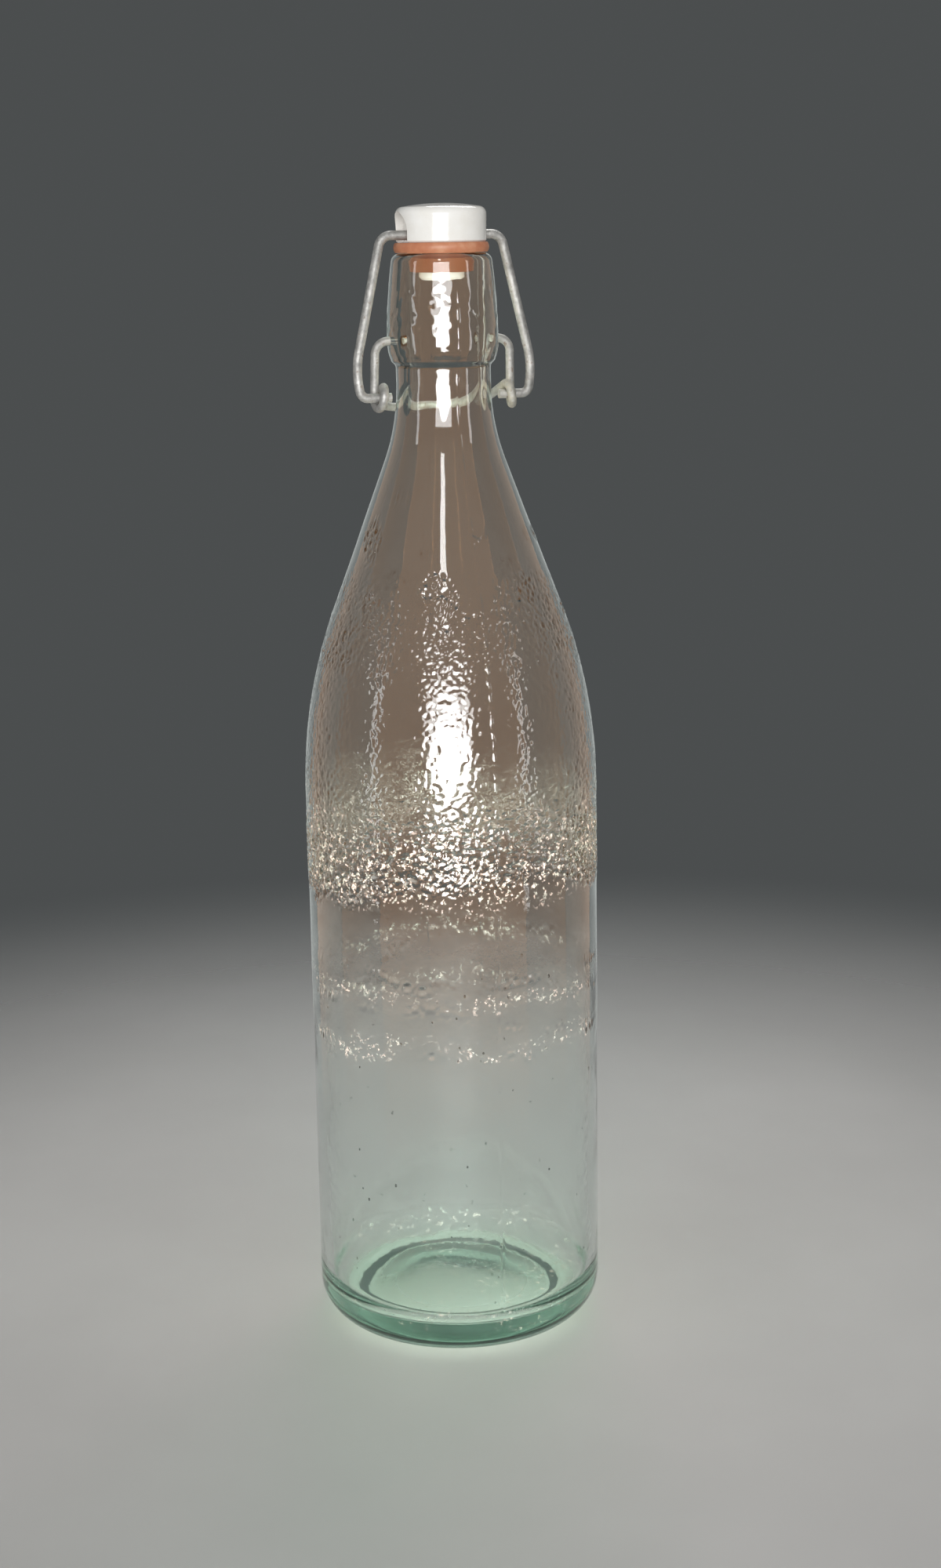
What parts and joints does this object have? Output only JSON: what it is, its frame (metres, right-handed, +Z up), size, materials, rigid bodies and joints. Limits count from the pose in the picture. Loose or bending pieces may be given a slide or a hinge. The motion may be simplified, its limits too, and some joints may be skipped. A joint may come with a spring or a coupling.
{
  "type": "swing top bottle",
  "caption": "Tall clear glass bottle with a sloping shoulder and a swing top closure: stopper with rubber gasket on a wire bail, pulled shut by a hinged wire lever.",
  "frame": {"origin": "on the table, at the middle of the bottle's base", "axes": "+Z up along the bottle, X along the closure's hinge axes, +Y to the back, where the lever's thumb loop is"},
  "size_m": [0.085, 0.085, 0.3289],
  "materials": {
    "clear_glass": "clear soda-lime glass with a faint green tint",
    "white_porcelain": "glossy white glaze",
    "red_rubber": "smooth orange-red rubber",
    "bail_steel": "dull galvanised wire",
    "lever_steel": "dull galvanised wire"
  },
  "bodies": {
    "bottle": {"glass_bottle": "clear_glass"},
    "lever": {"lever": "lever_steel"},
    "bail": {"bail": "bail_steel"},
    "stopper": {"stopper": "white_porcelain", "gasket": "red_rubber"}
  },
  "joints": [
    {"name": "lever_swing", "type": "hinge", "parent": "bottle", "child": "lever", "pos_m": [0, 0, 0.2916], "axis": [1, 0, 0], "range_deg": [0, 170]},
    {"name": "bail_swing", "type": "hinge", "parent": "lever", "child": "bail", "pos_m": [0, -0.0015, 0.276], "axis": [1, 0, 0], "range_deg": [-116, 0]},
    {"name": "stopper_tilt", "type": "hinge", "parent": "bail", "child": "stopper", "pos_m": [0, 0, 0.32035], "axis": [1, 0, 0], "range_deg": [-55, 0]}
  ],
  "couplings": [
    {"joint": "bail_swing", "follows": "lever_swing", "ratio": -0.68},
    {"joint": "stopper_tilt", "follows": "lever_swing", "ratio": -0.32}
  ]
}
